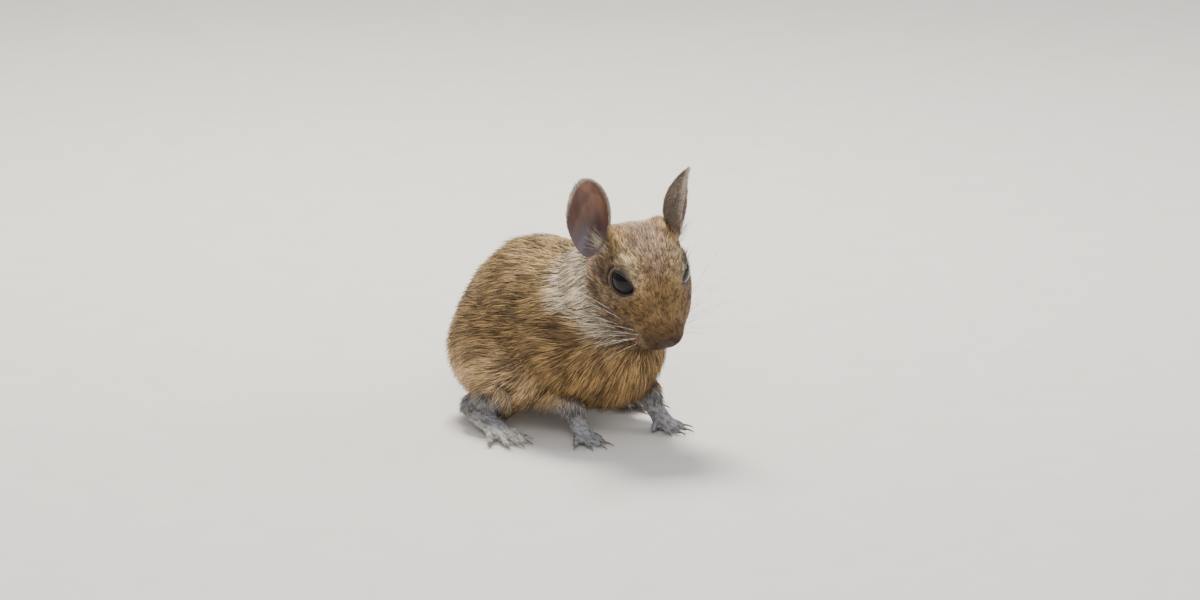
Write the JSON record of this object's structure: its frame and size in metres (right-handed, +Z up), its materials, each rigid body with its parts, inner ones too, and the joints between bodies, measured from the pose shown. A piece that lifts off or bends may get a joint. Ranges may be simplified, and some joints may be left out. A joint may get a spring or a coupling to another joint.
{
  "type": "degu",
  "caption": "Crouching degu, a small brush-tailed rodent with upright cupped ears, head hanging and turned to its right, tail curled round its left side.",
  "frame": {"origin": "on the floor under the middle of the animal's outer box", "axes": "+Z up, -Y is where the body faces, -X is the animal's right side, +Y towards the tail"},
  "size_m": [0.1194, 0.134, 0.0978],
  "materials": {
    "coat": "agouti yellow-brown fur",
    "leg_fur": "short grey fur",
    "ear": "thin bare skin",
    "eye": "wet gloss",
    "claw": "satin horn",
    "brush": "long black hair"
  },
  "bodies": {
    "root": {"torso": "coat", "neck": "coat", "head": "coat", "ear_left": "ear", "ear_right": "ear", "eye_left": "eye", "eye_right": "eye", "tail_base": "coat", "tail_middle": "coat", "tail_brush": "brush", "thigh_right": "coat", "upper_arm_right": "coat", "shank_right": "leg_fur", "foot_right": "leg_fur", "forearm_right": "leg_fur", "hand_right": "leg_fur", "hind_claw_right_1": "claw", "hind_claw_right_2": "claw", "hind_claw_right_3": "claw", "hind_claw_right_4": "claw", "hind_claw_right_5": "claw", "fore_claw_right_1": "claw", "fore_claw_right_2": "claw", "fore_claw_right_3": "claw", "fore_claw_right_4": "claw", "thigh_left": "coat", "upper_arm_left": "coat", "shank_left": "leg_fur", "foot_left": "leg_fur", "forearm_left": "leg_fur", "hand_left": "leg_fur", "hind_claw_left_1": "claw", "hind_claw_left_2": "claw", "hind_claw_left_3": "claw", "hind_claw_left_4": "claw", "hind_claw_left_5": "claw", "fore_claw_left_1": "claw", "fore_claw_left_2": "claw", "fore_claw_left_3": "claw", "fore_claw_left_4": "claw"}
  },
  "joints": []
}
